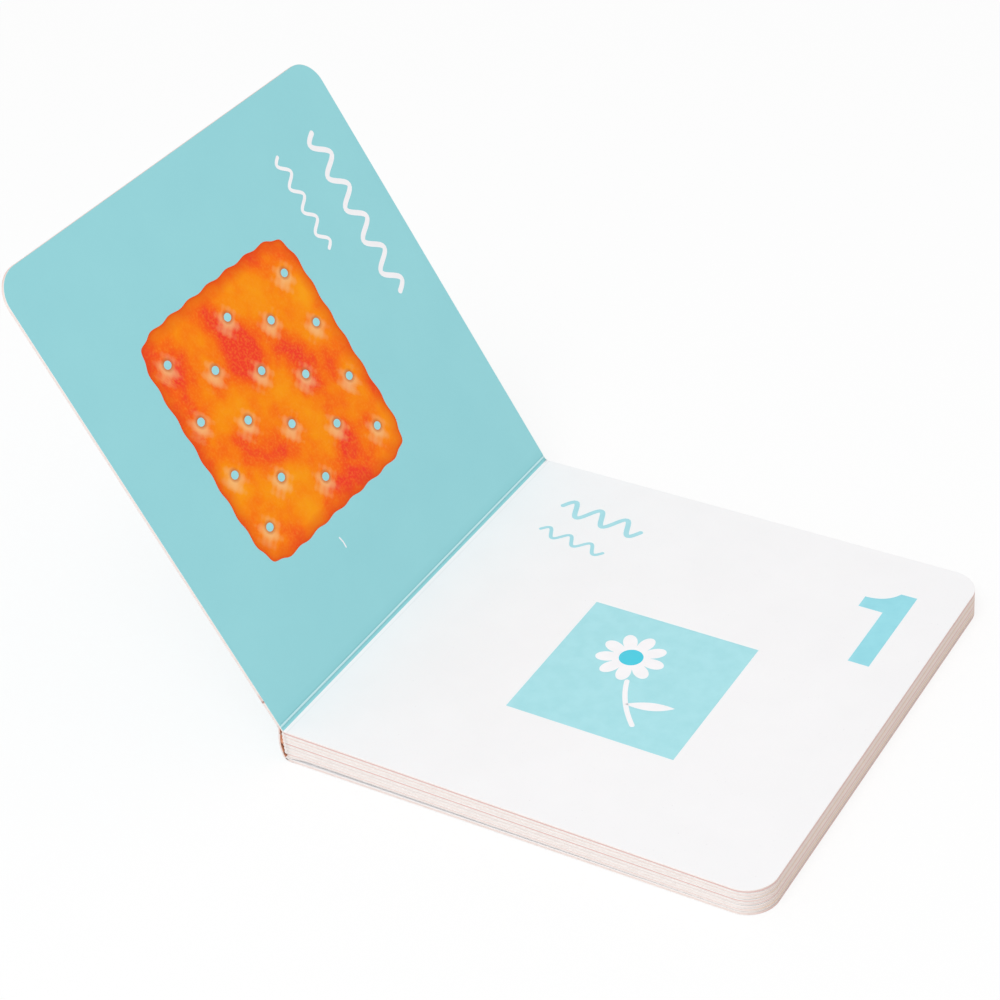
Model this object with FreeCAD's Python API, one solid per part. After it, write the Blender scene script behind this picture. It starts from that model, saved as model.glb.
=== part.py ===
import FreeCAD, Part
import math
import os

# A toddler's board book, open at its first spread.
# It lies on its back cover, and its front cover leans back past upright.
# Eight folded spreads of board are pasted back to back, which makes seven leaves
# between two cover leaves.  A cover leaf is the wrap board and half of a spread.
# The wrap is one scored board: front panel, spine strip and back panel.
# Millimetres.  X runs from the gutter to the fore edge, Y from tail to head, Z up.
# The origin is the middle of the underside, on the surface that the book lies on.

# The trimmed page
PAGE_WIDTH = 150.0
PAGE_HEIGHT = 150.0
CORNER_RADIUS = 9.0

# The board: two sheets pasted together make one leaf
SHEET = 0.54
LEAF_COUNT = 7
FOLD_SWELL = 0.21
SLIT_WIDTH = 0.08
SLIT_DEPTH = 2.0
FOLD_BULGE = 0.8
FOLD_RADIUS = 0.6

# The space between the seventh leaf and the back cover leaf
WEDGE_AT_FOLD = 0.15
WEDGE_AT_SPINE = 1.09
WEDGE_AT_FORE_EDGE = 0.06
WEDGE_MOUTH = 6.0

# How far the front cover leaf is open, from lying on the first page
OPEN_ANGLE = 120.5
CLOSED_CLEARANCE = 0.1
FOLD_CLEARANCE = 0.2

# The score in each cover leaf beside its fold
SCORE_OFFSET = 1.4
SCORE_WIDTH = 0.28
SCORE_DEPTH = 0.12
SCORE_BEAD = 0.6

# The spine strip, which stands off the folds and bows outward
SPINE_CAVITY = 0.5
SPINE_BOW = 0.47
SWING_CLEARANCE = 0.25

# The glue behind the folds
GLUE_SEAM = 0.02
GLUE_SHORT_OF_STRIP = 0.3
GLUE_INSET = 1.2

# Worked out from the sizes above
LEAF = 2 * SHEET
GUTTER_X = -PAGE_WIDTH / 2
FORE_X = PAGE_WIDTH / 2
TAIL_Y = -PAGE_HEIGHT / 2
PITCH_AT_SPINE = LEAF + FOLD_SWELL
BLOCK_FOOT_AT_SPINE = LEAF + WEDGE_AT_SPINE
BLOCK_FOOT_AT_FORE_EDGE = LEAF + WEDGE_AT_FORE_EDGE
GUTTER_Z = BLOCK_FOOT_AT_SPINE + LEAF_COUNT * PITCH_AT_SPINE
FORE_Z = BLOCK_FOOT_AT_FORE_EDGE + LEAF_COUNT * LEAF
PAGE_TILT = math.degrees(math.atan2(GUTTER_Z - FORE_Z, PAGE_WIDTH))
STRIP_FOOT = 2 * LEAF + SWING_CLEARANCE
STRIP_TOP = GUTTER_Z - CLOSED_CLEARANCE - LEAF - SWING_CLEARANCE
STRIP_STANDOFF = FOLD_BULGE + SPINE_CAVITY


def outline_face(first_x, z):
    """The page outline at height z, from first_x to the fore edge, with two round corners."""
    low_y = TAIL_Y
    high_y = -TAIL_Y
    r = CORNER_RADIUS
    bend = r * math.sqrt(0.5)
    fore_in = FORE_X - r
    gutter_tail = FreeCAD.Vector(first_x, low_y, z)
    gutter_head = FreeCAD.Vector(first_x, high_y, z)
    tail_start = FreeCAD.Vector(fore_in, low_y, z)
    tail_middle = FreeCAD.Vector(fore_in + bend, low_y + r - bend, z)
    tail_end = FreeCAD.Vector(FORE_X, low_y + r, z)
    head_start = FreeCAD.Vector(FORE_X, high_y - r, z)
    head_middle = FreeCAD.Vector(fore_in + bend, high_y - r + bend, z)
    head_end = FreeCAD.Vector(fore_in, high_y, z)
    edges = [
        Part.LineSegment(gutter_tail, tail_start).toShape(),
        Part.Arc(tail_start, tail_middle, tail_end).toShape(),
        Part.LineSegment(tail_end, head_start).toShape(),
        Part.Arc(head_start, head_middle, head_end).toShape(),
        Part.LineSegment(head_end, gutter_head).toShape(),
        Part.LineSegment(gutter_head, gutter_tail).toShape(),
    ]
    return Part.Face(Part.Wire(edges))


def flat_sheet(first_x, low_z, high_z):
    """A flat sheet with the page outline, between two heights."""
    face = outline_face(first_x, low_z)
    return face.extrude(FreeCAD.Vector(0, 0, high_z - low_z))


def section_prism(points, y_inset=0.0):
    """A prism along Y whose section is a polygon of (x, z) points."""
    low_y = TAIL_Y + y_inset
    corners = [FreeCAD.Vector(x, low_y, z) for x, z in points]
    face = Part.Face(Part.makePolygon(corners + corners[:1]))
    return face.extrude(FreeCAD.Vector(0, -2 * low_y, 0))


def layer_z(x, boundary):
    """Height at x of a boundary between leaves, counted up from the block's foot."""
    share = (x - GUTTER_X) / PAGE_WIDTH
    at_spine = BLOCK_FOOT_AT_SPINE + boundary * PITCH_AT_SPINE
    at_fore_edge = BLOCK_FOOT_AT_FORE_EDGE + boundary * LEAF
    return at_spine + share * (at_fore_edge - at_spine)


def leaf_section(index):
    """The section of one leaf: a slit's half-width short of its neighbours."""
    half_slit = SLIT_WIDTH / 2
    top_slit = 0.0 if index == LEAF_COUNT - 1 else half_slit
    top = [
        (FORE_X, layer_z(FORE_X, index + 1) - top_slit),
        (GUTTER_X, layer_z(GUTTER_X, index + 1) - top_slit),
    ]
    if index > 0:
        foot = [
            (GUTTER_X, layer_z(GUTTER_X, index) + half_slit),
            (FORE_X, layer_z(FORE_X, index) + half_slit),
        ]
        return foot + top
    mouth_x = GUTTER_X + WEDGE_MOUTH
    foot = [
        (GUTTER_X, LEAF + WEDGE_AT_FOLD),
        (mouth_x, layer_z(mouth_x, 0)),
        (FORE_X, layer_z(FORE_X, 0)),
    ]
    return foot + top


def block_core():
    """What holds the leaves together inside the open ends of their slits."""
    inner_x = FORE_X - SLIT_DEPTH
    points = [
        (GUTTER_X, layer_z(GUTTER_X, 0) + SHEET),
        (inner_x, layer_z(inner_x, 0) + SHEET),
        (inner_x, layer_z(inner_x, LEAF_COUNT) - SHEET),
        (GUTTER_X, layer_z(GUTTER_X, LEAF_COUNT) - SHEET),
    ]
    core = section_prism(points, SLIT_DEPTH)
    corner = outline_face(GUTTER_X, 0).extrude(FreeCAD.Vector(0, 0, 2 * GUTTER_Z))
    corner.translate(FreeCAD.Vector(-SLIT_DEPTH, 0, 0))
    return core.common(corner)


def spread_fold(index):
    """The round back of the folded spread that joins two neighbouring leaves."""
    centre_x = GUTTER_X - FOLD_BULGE + FOLD_RADIUS
    centre = FreeCAD.Vector(centre_x, TAIL_Y, layer_z(GUTTER_X, index))
    return Part.makeCylinder(FOLD_RADIUS, PAGE_HEIGHT, centre, FreeCAD.Vector(0, 1, 0))


def make_page_block():
    """The seven inner leaves as one solid, open by slits along head, tail and fore edge."""
    leaves = section_prism(leaf_section(0))
    for index in range(1, LEAF_COUNT):
        leaves = leaves.fuse(section_prism(leaf_section(index)))
    trim = outline_face(GUTTER_X, 0).extrude(FreeCAD.Vector(0, 0, 2 * GUTTER_Z))
    block = leaves.common(trim).fuse(block_core())
    for index in range(1, LEAF_COUNT):
        block = block.fuse(spread_fold(index))
    return block.removeSplitter()


def open_cover_leaf(shape):
    """Turns a piece that was made lying on the first page to the angle it stands at."""
    turned = shape.copy()
    axis_point = FreeCAD.Vector(GUTTER_X, 0, GUTTER_Z)
    turned.rotate(axis_point, FreeCAD.Vector(0, 1, 0), PAGE_TILT - OPEN_ANGLE)
    return turned


def score_groove(side):
    """One of the two grooves that a score presses beside its bead."""
    middle_x = GUTTER_X + SCORE_OFFSET + side * (SCORE_BEAD + SCORE_WIDTH) / 2
    low_z = GUTTER_Z + CLOSED_CLEARANCE
    corner = FreeCAD.Vector(middle_x - SCORE_WIDTH / 2, TAIL_Y, low_z)
    return Part.makeBox(SCORE_WIDTH, PAGE_HEIGHT, SCORE_DEPTH, corner)


def make_first_page():
    """The half spread pasted inside the front cover, with the score beside its fold."""
    low_z = GUTTER_Z + CLOSED_CLEARANCE
    sheet = flat_sheet(GUTTER_X + FOLD_CLEARANCE, low_z, low_z + SHEET)
    for side in (-1, 1):
        sheet = sheet.cut(score_groove(side))
    return open_cover_leaf(sheet)


def make_front_cover():
    """The wrap's front panel, which starts at its score."""
    low_z = GUTTER_Z + CLOSED_CLEARANCE + SHEET
    panel = flat_sheet(GUTTER_X + SCORE_OFFSET, low_z, low_z + SHEET)
    return open_cover_leaf(panel)


def make_last_page():
    """The half spread pasted inside the back cover."""
    return flat_sheet(GUTTER_X + FOLD_CLEARANCE, SHEET, LEAF)


def make_back_cover():
    """The wrap's back panel, which the book lies on."""
    return flat_sheet(GUTTER_X + SCORE_OFFSET, 0, SHEET)


def strip_arc_radius():
    """Radius of the spine strip's inner face, from its height and its bow."""
    half_height = (STRIP_TOP - STRIP_FOOT) / 2
    return (half_height ** 2 + SPINE_BOW ** 2) / (2 * SPINE_BOW)


def bowed_x(z, outward):
    """X of the strip's inner face at height z, moved outward by a distance."""
    radius = strip_arc_radius()
    middle_z = (STRIP_TOP + STRIP_FOOT) / 2
    centre_u = STRIP_STANDOFF + SPINE_BOW - radius
    reach = math.sqrt((radius + outward) ** 2 - (z - middle_z) ** 2)
    return GUTTER_X - centre_u - reach


def bowed_arc(low_z, high_z, y, outward):
    """An arc along the strip's bow, between two heights."""
    middle_z = (low_z + high_z) / 2
    heights = (low_z, middle_z, high_z)
    points = [FreeCAD.Vector(bowed_x(z, outward), y, z) for z in heights]
    return Part.Arc(*points).toShape()


def make_spine():
    """The wrap's spine strip: one sheet of board, bowed outward from score to score."""
    inner = bowed_arc(STRIP_FOOT, STRIP_TOP, TAIL_Y, 0)
    outer = bowed_arc(STRIP_FOOT, STRIP_TOP, TAIL_Y, SHEET)
    inner_foot = FreeCAD.Vector(bowed_x(STRIP_FOOT, 0), TAIL_Y, STRIP_FOOT)
    inner_top = FreeCAD.Vector(bowed_x(STRIP_TOP, 0), TAIL_Y, STRIP_TOP)
    outer_foot = FreeCAD.Vector(bowed_x(STRIP_FOOT, SHEET), TAIL_Y, STRIP_FOOT)
    outer_top = FreeCAD.Vector(bowed_x(STRIP_TOP, SHEET), TAIL_Y, STRIP_TOP)
    foot_edge = Part.LineSegment(outer_foot, inner_foot).toShape()
    top_edge = Part.LineSegment(inner_top, outer_top).toShape()
    wire = Part.Wire(Part.__sortEdges__([inner, top_edge, outer, foot_edge]))
    return Part.Face(wire).extrude(FreeCAD.Vector(0, PAGE_HEIGHT, 0))


def make_spine_glue():
    """The glue that holds the strip to the backs of the folds, short of every edge."""
    low_z = STRIP_FOOT + GLUE_SHORT_OF_STRIP
    high_z = STRIP_TOP - GLUE_SHORT_OF_STRIP
    y = TAIL_Y + GLUE_INSET
    back_x = GUTTER_X - FOLD_BULGE - GLUE_SEAM
    arc = bowed_arc(low_z, high_z, y, -GLUE_SEAM)
    outer_foot = FreeCAD.Vector(bowed_x(low_z, -GLUE_SEAM), y, low_z)
    outer_top = FreeCAD.Vector(bowed_x(high_z, -GLUE_SEAM), y, high_z)
    inner_foot = FreeCAD.Vector(back_x, y, low_z)
    inner_top = FreeCAD.Vector(back_x, y, high_z)
    edges = [
        arc,
        Part.LineSegment(outer_top, inner_top).toShape(),
        Part.LineSegment(inner_top, inner_foot).toShape(),
        Part.LineSegment(inner_foot, outer_foot).toShape(),
    ]
    face = Part.Face(Part.Wire(Part.__sortEdges__(edges)))
    return face.extrude(FreeCAD.Vector(0, PAGE_HEIGHT - 2 * GLUE_INSET, 0))


def main():
    os.makedirs("parts", exist_ok=True)
    pieces = {
        "back_cover": make_back_cover(),
        "last_page": make_last_page(),
        "page_block": make_page_block(),
        "spine": make_spine(),
        "spine_glue": make_spine_glue(),
        "first_page": make_first_page(),
        "front_cover": make_front_cover(),
    }
    for name, shape in pieces.items():
        shape.exportStep("parts/" + name + ".step")
        print(name, len(shape.Solids), shape.isValid(), round(shape.Volume, 1))
    print("gutter height", round(GUTTER_Z, 3), "fore edge height", round(FORE_Z, 3))
    print("page tilt", round(PAGE_TILT, 3))


main()
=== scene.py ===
import math

import bpy
import numpy as np
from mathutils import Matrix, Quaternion, Vector


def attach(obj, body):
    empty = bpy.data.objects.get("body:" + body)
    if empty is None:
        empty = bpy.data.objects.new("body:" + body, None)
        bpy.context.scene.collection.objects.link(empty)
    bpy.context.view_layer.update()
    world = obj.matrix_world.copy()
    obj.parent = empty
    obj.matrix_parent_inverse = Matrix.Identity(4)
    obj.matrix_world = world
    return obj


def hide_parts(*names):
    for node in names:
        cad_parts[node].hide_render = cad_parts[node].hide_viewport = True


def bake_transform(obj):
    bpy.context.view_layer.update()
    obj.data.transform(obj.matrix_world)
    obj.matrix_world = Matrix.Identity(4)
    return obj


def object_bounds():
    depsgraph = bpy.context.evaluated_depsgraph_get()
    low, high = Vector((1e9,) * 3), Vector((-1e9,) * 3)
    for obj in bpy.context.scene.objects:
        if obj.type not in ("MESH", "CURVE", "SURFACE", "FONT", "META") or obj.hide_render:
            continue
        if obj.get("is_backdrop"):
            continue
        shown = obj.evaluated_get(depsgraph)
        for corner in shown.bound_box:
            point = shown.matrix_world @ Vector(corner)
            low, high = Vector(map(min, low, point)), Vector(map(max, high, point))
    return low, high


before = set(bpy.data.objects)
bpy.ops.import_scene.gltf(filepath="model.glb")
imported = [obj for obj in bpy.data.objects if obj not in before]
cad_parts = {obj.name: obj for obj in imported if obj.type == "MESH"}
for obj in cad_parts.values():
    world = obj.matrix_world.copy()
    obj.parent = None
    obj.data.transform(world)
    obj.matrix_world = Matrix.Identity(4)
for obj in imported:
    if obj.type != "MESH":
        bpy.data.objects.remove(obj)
cad_low, cad_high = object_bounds()

# A toddler's board book, open at its first spread and lying on its back cover.
# Every length is in millimetres until a mesh is made, and s is the distance from the gutter.
# Y runs from tail to head.  Eight folded spreads are pasted back to back inside one scored wrap.


# The inner leaves
# Seven leaves of solid board, each of two sheets pasted back to back, and die-cut in one stroke.
# The folds behind them are thicker than the sheets, so the block swells towards the spine.
PAGE_WIDTH = 150.0
PAGE_HEIGHT = 150.0
CORNER = 9.0
SHEET = 0.54
LEAF = 2 * SHEET
LEAF_COUNT = 7
FOLD_SWELL = 0.21
SLIT = 0.05
WEDGE_AT_FOLD = 0.15
WEDGE_AT_SPINE = 1.09
WEDGE_AT_FORE_EDGE = 0.06
WEDGE_MOUTH = 6.0
GUTTER_X = -PAGE_WIDTH / 2
HALF_HEIGHT = PAGE_HEIGHT / 2
TO_METRES = 0.001

# Share of a cut sheet's thickness, and how far the knife's edge is rounded in there
LEAF_EDGE = [
    (0.0, -0.06), (0.03, -0.02), (0.08, 0.0), (0.25, 0.01), (0.42, 0.0), (0.48, -0.02),
    (0.52, -0.02), (0.58, 0.0), (0.75, 0.01), (0.92, 0.0), (0.97, -0.02), (1.0, -0.06),
]


def ink(red, green, blue):
    """A colour as it is seen, from 0 to 255, as the shader wants it."""
    shares = [channel / 255 for channel in (red, green, blue)]
    linear = [c / 12.92 if c <= 0.04045 else ((c + 0.055) / 1.055) ** 2.4 for c in shares]
    return (*linear, 1.0)


def new_finish(name, roughness, specular):
    """A new material with its node tree and its shader."""
    material = bpy.data.materials.new(name)
    material.use_nodes = True
    shader = material.node_tree.nodes["Principled BSDF"]
    shader.inputs["Roughness"].default_value = roughness
    shader.inputs["Specular IOR Level"].default_value = specular
    return material, material.node_tree, shader


def add_node(tree, kind, inputs, **settings):
    """A node with its settings, whose inputs are values or other nodes' outputs."""
    made = tree.nodes.new(kind)
    for setting, value in settings.items():
        setattr(made, setting, value)
    for socket, value in inputs.items():
        if isinstance(value, bpy.types.NodeSocket):
            tree.links.new(value, made.inputs[socket])
        else:
            made.inputs[socket].default_value = value
    return made


def ramp_of(tree, factor, stops):
    """The colour output of a ramp with (position, colour) stops."""
    made = add_node(tree, "ShaderNodeValToRGB", {"Fac": factor})
    elements = made.color_ramp.elements
    for position, shade in stops[1:-1]:
        elements.new(position).color = shade
    elements[0].position, elements[0].color = stops[0]
    elements[-1].position, elements[-1].color = stops[-1]
    return made.outputs["Color"]


def grain_of(tree, scale, detail=3.0, stretch=(1.0, 1.0, 1.0)):
    """Noise fixed to the board, with its grains as many to the metre as scale says."""
    place = add_node(tree, "ShaderNodeTexCoord", {}).outputs["Object"]
    sized = add_node(tree, "ShaderNodeMapping", {"Vector": place, "Scale": stretch})
    inputs = {"Vector": sized.outputs["Vector"], "Scale": scale, "Detail": detail}
    return add_node(tree, "ShaderNodeTexNoise", inputs).outputs["Fac"]


def mixed(tree, factor, first, second):
    """The colour between two, by a factor."""
    made = tree.nodes.new("ShaderNodeMix")
    made.data_type = "RGBA"
    for place, value in ((0, factor), (6, first), (7, second)):
        if isinstance(value, bpy.types.NodeSocket):
            tree.links.new(value, made.inputs[place])
        else:
            made.inputs[place].default_value = value
    return made.outputs[2]


def raise_by(tree, shader, height, distance):
    """Bump on a shader, as deep as distance in millimetres."""
    inputs = {"Height": height, "Distance": distance * TO_METRES, "Strength": 1.0}
    bump = add_node(tree, "ShaderNodeBump", inputs)
    tree.links.new(bump.outputs["Normal"], shader.inputs["Normal"])


def add_tooth(tree, shader):
    """The fine tooth of coated paper."""
    raise_by(tree, shader, grain_of(tree, 700.0), 0.006)


def share_stored_as(tree, name):
    """What a piece stores for each of its points under a name."""
    return add_node(tree, "ShaderNodeAttribute", {}, attribute_name=name).outputs["Fac"]


def strength(tree, factor, stops):
    """How strong a mark is, from (position, strength) stops along a factor."""
    return ramp_of(tree, factor, [(position, (value, value, value, 1)) for position, value in stops])


def strength_along(tree, name, span, stops):
    """How strong a mark is, from (millimetres, strength) stops up to span along a stored distance."""
    inputs = {0: share_stored_as(tree, name), 1: span}
    share = add_node(tree, "ShaderNodeMath", inputs, operation="DIVIDE").outputs[0]
    return strength(tree, share, [(distance / span, value) for distance, value in stops])


def coated_board():
    """White page face: a satin coat, a few specks, and a faint crease's shade painted beside the gutter
    fold.
    """
    material, tree, shader = new_finish("coated_page", 0.5, 0.3)
    cloud = grain_of(tree, 60.0)
    tone = ramp_of(tree, cloud, [(0.3, ink(246, 245, 246)), (0.7, ink(248, 247, 248))])
    dust = strength(tree, grain_of(tree, 1900.0, detail=1.0), [(0.77, 0.0), (0.8, 1.0)])
    dusty = mixed(tree, dust, tone, ink(230, 228, 230))
    # The grey line 1.2 mm from the gutter is painted shade of a crease.
    marks = [(0.0, 0.0), (1.0, 0.0), (1.2, 0.3), (1.4, 0.0), (4.0, 0.0)]
    crease = strength_along(tree, "reach", 4.0, marks)
    tree.links.new(mixed(tree, crease, dusty, ink(206, 203, 208)), shader.inputs["Base Color"])
    add_tooth(tree, shader)
    return material


def plies(tree, ply, pulp, coat, lines, coated):
    """Pulp with thin lines at their shares of the thickness, and a coat on the sides that have one."""
    foot, top = (coat if has_coat else pulp for has_coat in coated)
    stops = [(0.0, foot), (0.06, foot), (0.12, pulp)]
    for middle, half_width, shade in lines:
        stops += [(middle - 1.7 * half_width, pulp), (middle - 0.7 * half_width, shade)]
        stops += [(middle + 0.7 * half_width, shade), (middle + 1.7 * half_width, pulp)]
    stops += [(0.88, pulp), (0.94, top), (1.0, top)]
    return ramp_of(tree, ply, stops)


def cut_board(name, tail_lines, fore_lines, coated=(True, True), nick=None):
    """A knife-cut edge.  The fore edge is beige from handling and from painted shade, and shows other
    lines than the tail.
    The edge is red-brown at a nick and a little past it, at the nick's distance from the gutter."""
    material, tree, shader = new_finish(name, 0.85, 0.1)
    ply = share_stored_as(tree, "ply")
    clean = plies(tree, ply, ink(246, 239, 235), ink(251, 248, 246), tail_lines, coated)
    # The fore edge's beige tone and darker lines are partly handling and partly painted shade on the
    # side away from the lamp.
    handled_and_shaded = plies(tree, ply, ink(227, 208, 197), ink(238, 226, 220), fore_lines, coated)
    layers = mixed(tree, share_stored_as(tree, "fore"), clean, handled_and_shaded)
    fibre = grain_of(tree, 900.0, stretch=(1.0, 1.0, 3.0))
    shadow = strength(tree, fibre, [(0.35, 0.0), (0.75, 0.35)])
    shade = mixed(tree, shadow, layers, ink(224, 207, 199))
    if nick:
        marks = [
            (0.0, 0.0), (nick - 0.5, 0.0), (nick, 0.9), (nick + 0.5, 0.3),
            (nick + 2, 0.3), (nick + 3, 0.0),
        ]
        # Red-brown at the nick and for about 3 mm past it.
        nick_tint = strength_along(tree, "reach", 2 * nick, marks)
        shade = mixed(tree, nick_tint, shade, ink(205, 148, 136))
    tree.links.new(shade, shader.inputs["Base Color"])
    raise_by(tree, shader, fibre, 0.02)
    return material


def page_columns(start, close_to=()):
    """Where across the page a sheet has points: distance from the gutter and half height."""
    straight = PAGE_WIDTH - CORNER
    near = [start, *close_to]
    columns = [(s, HALF_HEIGHT) for s in near]
    columns += [(s, HALF_HEIGHT) for s in np.linspace(near[-1], straight, 26)[1:]]
    for turn in np.linspace(0, math.pi / 2, 15)[1:]:
        s = straight + CORNER * math.sin(turn)
        columns.append((s, HALF_HEIGHT - CORNER + CORNER * math.cos(turn)))
    return columns


def way_round(columns, rows):
    """The rim of a sheet, counter-clockwise: column, row and the direction that faces outward."""
    straight = PAGE_WIDTH - CORNER
    turns = [math.asin(min(1.0, max(0.0, (s - straight) / CORNER))) for s, half in columns]
    last = len(columns) - 1
    rim = [(i, 0, math.sin(turn), -math.cos(turn)) for i, turn in enumerate(turns)]
    rim += [(last, j, 1.0, 0.0) for j in range(1, rows - 1)]
    back = reversed(list(enumerate(turns)))
    rim += [(i, rows - 1, math.sin(turn), math.cos(turn)) for i, turn in back]
    rim += [(0, j, -1.0, 0.0) for j in reversed(range(1, rows - 1))]
    return rim


def mesh_piece(name, points, faces, finishes, finish_of_face, smooth_faces):
    """An object from points in millimetres and faces, each with its finish."""
    mesh = bpy.data.meshes.new(name)
    mesh.from_pydata([[c * TO_METRES for c in point] for point in points], [], faces)
    for finish in finishes:
        mesh.materials.append(finish)
    mesh.polygons.foreach_set("material_index", finish_of_face)
    mesh.polygons.foreach_set("use_smooth", smooth_faces)
    mesh.update()
    piece = bpy.data.objects.new(name, mesh)
    bpy.context.scene.collection.objects.link(piece)
    return piece


def store(piece, name, values):
    """A number for each point of a piece, which its finish reads by name."""
    attribute = piece.data.attributes.new(name, "FLOAT", "POINT")
    attribute.data.foreach_set("value", np.array(values, np.float32))


def board_sheet(name, columns, foot, top, lay, finishes, smooth_below=0.0, dent=None):
    """A sheet with the page outline.  foot and top give its two faces' heights at (s, y), lay
    puts (s, y, height) in its place, and finishes are for the top, the foot and the cut edge."""
    shares = np.linspace(-1, 1, 61)
    rows = len(shares)
    points, ply, reach, fore = [], [], [], []
    for level, height in ((0.0, foot), (1.0, top)):
        for s, half in columns:
            for share in shares:
                y = half * share
                points.append((s, y, height(s, y)))
                ply.append(level)
                reach.append(s)
                fore.append(1.0 if s > PAGE_WIDTH - 0.001 else 0.0)
    foot_count = len(columns) * rows
    rim = way_round(columns, rows)
    levels = []
    for share, inward in LEAF_EDGE:
        if share in (0.0, 1.0):
            start = int(share) * foot_count
            levels.append([start + i * rows + j for i, j, out_s, out_y in rim])
            for i, j, out_s, out_y in rim:
                s, y, height = points[start + i * rows + j]
                points[start + i * rows + j] = (s + inward * out_s, y + inward * out_y, height)
            continue
        levels.append(list(range(len(points), len(points) + len(rim))))
        for i, j, out_s, out_y in rim:
            s, half = columns[i]
            y = half * shares[j]
            low, high = foot(s, y), top(s, y)
            push = inward + (dent(s, y, share) if dent else 0.0)
            points.append((s + push * out_s, y + push * out_y, low + share * (high - low)))
            ply.append(share)
            reach.append(s)
            # How far a rim point faces the fore edge, where the finish lays the handled tone and painted
            # shade.
            fore.append(max(0.0, out_s) ** 2)
    faces, finish_of_face, smooth = [], [], []
    for i in range(len(columns) - 1):
        for j in range(rows - 1):
            a, b = i * rows + j, (i + 1) * rows + j
            faces.append((a, a + 1, b + 1, b))
            faces.append(tuple(foot_count + corner for corner in (a, b, b + 1, a + 1)))
            finish_of_face += [1, 0]
            smooth += [bool(columns[i + 1][0] < smooth_below)] * 2
    for low_row, high_row in zip(levels, levels[1:]):
        for k in range(len(rim)):
            following = (k + 1) % len(rim)
            faces.append((low_row[k], low_row[following], high_row[following], high_row[k]))
            finish_of_face.append(2)
            smooth.append(True)
    laid = [lay(*point) for point in points]
    piece = mesh_piece(name, laid, faces, finishes, finish_of_face, smooth)
    store(piece, "ply", ply)
    store(piece, "reach", reach)
    store(piece, "fore", fore)
    return piece


def boundary_height(s, boundary):
    """Height of a boundary between inner leaves, counted up from the block's foot."""
    share = s / PAGE_WIDTH
    at_spine = LEAF + WEDGE_AT_SPINE + boundary * (LEAF + FOLD_SWELL)
    at_fore_edge = LEAF + WEDGE_AT_FORE_EDGE + boundary * LEAF
    return at_spine + share * (at_fore_edge - at_spine)


# How far handling has opened each side of the slits at the tail corner, from the lowest boundary up
GAPES = (0.0, 0.03, 0.09, 0.02, 0.07, 0.02, 0.04)
GAPE_INSET = 3.0
GAPE_SPREAD = 5.5


def corner_gape(s, y, boundary):
    """Half the width of the slit at a boundary, which handling has opened at the tail corner."""
    if boundary in (0, LEAF_COUNT):
        return 0.0
    apart = math.hypot(s - PAGE_WIDTH + GAPE_INSET, y + HALF_HEIGHT - GAPE_INSET)
    return SLIT / 2 + GAPES[boundary] * math.exp(-((apart / GAPE_SPREAD) ** 2))


def leaf_foot(index):
    """The height of an inner leaf's lower face."""
    def height(s, y):
        if index == 0 and s < WEDGE_MOUTH:
            folded_down = LEAF + WEDGE_AT_FOLD
            mouth = boundary_height(WEDGE_MOUTH, 0)
            return folded_down + (mouth - folded_down) * s / WEDGE_MOUTH
        return boundary_height(s, index) + corner_gape(s, y, index)
    return height


def leaf_top(index):
    """The height of an inner leaf's upper face."""
    def height(s, y):
        return boundary_height(s, index + 1) - corner_gape(s, y, index + 1)
    return height


def lay_on_table(s, y, height):
    """A place that is s from the gutter, as high over the table as the model says."""
    return (GUTTER_X + s, y, height)


PINK = ink(226, 182, 178)
BLUSH = ink(237, 213, 208)
GREY = ink(224, 213, 212)
# Fore-edge line colours, darker partly from handling and partly as painted shade
HANDLED_AND_SHADED_PINK = ink(220, 178, 178)
HANDLED_AND_SHADED_GREY = ink(212, 198, 196)
OCHRE = ink(228, 192, 156)
PALE = ink(238, 224, 220)
# Painted shade for the gap over the last page
GAP_SHADE = ink(140, 131, 135)

# The lines on the tail edge and those on the fore edge, from the lowest leaf to the top one
leaf_lines = [
    ([(0.3, 0.03, GREY), (0.7, 0.1, BLUSH)], [(0.66, 0.11, OCHRE)]),
    ([(0.55, 0.04, BLUSH)], [(0.4, 0.04, HANDLED_AND_SHADED_GREY)]),
    ([(0.48, 0.06, GREY)], [(0.55, 0.13, HANDLED_AND_SHADED_PINK)]),
    ([(0.52, 0.12, PINK)], [(0.5, 0.13, PALE)]),
    ([(0.5, 0.03, BLUSH)], [(0.3, 0.08, OCHRE), (0.7, 0.07, HANDLED_AND_SHADED_GREY)]),
    ([(0.42, 0.07, BLUSH)], [(0.5, 0.13, PALE)]),
    ([(0.42, 0.14, PINK)], [(0.4, 0.14, HANDLED_AND_SHADED_PINK)]),
]
white_page = coated_board()
block_columns = page_columns(0.0, close_to=(1.5, 3.5, WEDGE_MOUTH))
for index in range(LEAF_COUNT):
    edge = cut_board(f"cut_edge_{index + 1}", *leaf_lines[index])
    leaf = board_sheet(
        f"leaf_{index + 1}", block_columns, leaf_foot(index), leaf_top(index), lay_on_table,
        [white_page, white_page, edge],
    )
    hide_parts("page_block")
    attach(leaf, "pages")


# The folds behind the leaves
# Each spread is one sheet folded once, so two neighbouring leaves share a round back.
# The folds show at the tail and the head, as knife-cut ends.
FOLD_BULGE = 0.8
FOLD_HALF_HEIGHT = 0.64
CREASE_X = GUTTER_X + 0.2
CREASE_DEPTH = 0.3
CREASE_HALF_HEIGHT = 0.02
GUTTER_Z = boundary_height(0.0, LEAF_COUNT)


def fold_section(middle, crease_half_height, half_height, roundness):
    """A fold's crease and its back, as (x, z) points.  A lower roundness makes the back squarer."""
    crease, back = [], []
    for turn in np.linspace(-math.pi / 2, math.pi / 2, 13):
        depth = CREASE_DEPTH * math.cos(turn)
        bulge = FOLD_BULGE * abs(math.cos(turn)) ** roundness
        crease.append((CREASE_X - depth, middle + crease_half_height * math.sin(turn)))
        back.append((GUTTER_X - bulge, middle + half_height * math.sin(turn)))
    return crease, back


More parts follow.
